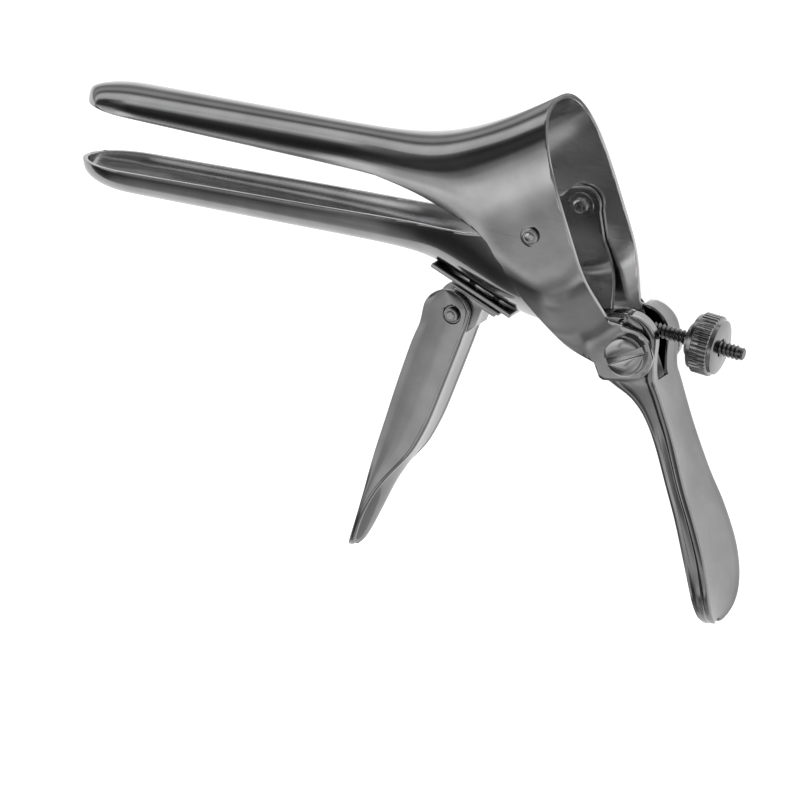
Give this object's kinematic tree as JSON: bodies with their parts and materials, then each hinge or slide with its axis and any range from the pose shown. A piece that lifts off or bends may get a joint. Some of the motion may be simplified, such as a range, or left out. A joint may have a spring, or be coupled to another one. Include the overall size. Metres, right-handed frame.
{
  "type": "bivalve vaginal speculum",
  "caption": "Small two-bladed speculum with a funnel collar, a long handle, a folding thumb lever and a threaded rod with a knurled nut.",
  "frame": {"origin": "where the blade pivot's axis meets the outer face of the far pivot rivet, with the instrument lying on its side", "axes": "+Z along the blade pivot's axis from the far to the near side; +X from the blade tips towards the nut; +Y from the handles towards the crown of the funnel"},
  "size_m": [0.1441, 0.1063, 0.0316],
  "materials": {
    "polished_steel": "polished stainless steel",
    "dark_steel": "satin stainless steel",
    "knurled_steel": "knurled stainless steel",
    "fastener_steel": "turned stainless steel"
  },
  "bodies": {
    "upper_valve": {"upper_blade": "polished_steel", "long_handle": "polished_steel", "pivot_rivet_near": "fastener_steel", "pivot_rivet_far": "fastener_steel", "pivot_washer_near": "fastener_steel", "pivot_washer_far": "fastener_steel", "handle_screw_near": "fastener_steel", "handle_screw_far": "fastener_steel"},
    "lower_valve": {"lower_blade": "polished_steel", "bracket_plate": "dark_steel", "spring_leaf": "dark_steel", "hinge_block": "dark_steel", "bracket_rivet_front": "fastener_steel", "bracket_rivet_rear": "fastener_steel", "lever_pin": "fastener_steel", "rod_clevis": "dark_steel", "rod_pin": "fastener_steel"},
    "lever": {"thumb_lever": "polished_steel"},
    "rod": {"threaded_rod": "dark_steel"},
    "washer": {"thrust_washer": "dark_steel"},
    "nut": {"knurled_nut": "knurled_steel"}
  },
  "joints": [
    {"name": "blade_opening", "type": "hinge", "parent": "upper_valve", "child": "lower_valve", "pos_m": [0, 0, 0.0158], "axis": [0, 0, 1], "range_deg": [-6, 15]},
    {"name": "lever_fold", "type": "hinge", "parent": "lower_valve", "child": "lever", "pos_m": [-0.0214, -0.0209, 0.0158], "axis": [0, 0, 1], "range_deg": [-36, 0]},
    {"name": "rod_swing", "type": "hinge", "parent": "lower_valve", "child": "rod", "pos_m": [0.015, -0.0196, 0.0158], "axis": [0, 0, 1], "range_deg": [-8, 55]},
    {"name": "nut_travel", "type": "slide", "parent": "rod", "child": "washer", "axis": [0.9842, -0.1771, 0], "range_m": [-0.0095, 0.0038]},
    {"name": "nut_spin", "type": "hinge", "parent": "washer", "child": "nut", "pos_m": [0.015, -0.0196, 0.0158], "axis": [0.9842, -0.1771, 0], "continuous": true}
  ],
  "couplings": [
    {"joint": "nut_travel", "follows": "blade_opening", "m_per_rad": -0.036},
    {"joint": "nut_spin", "follows": "blade_opening", "ratio": -251.33}
  ]
}
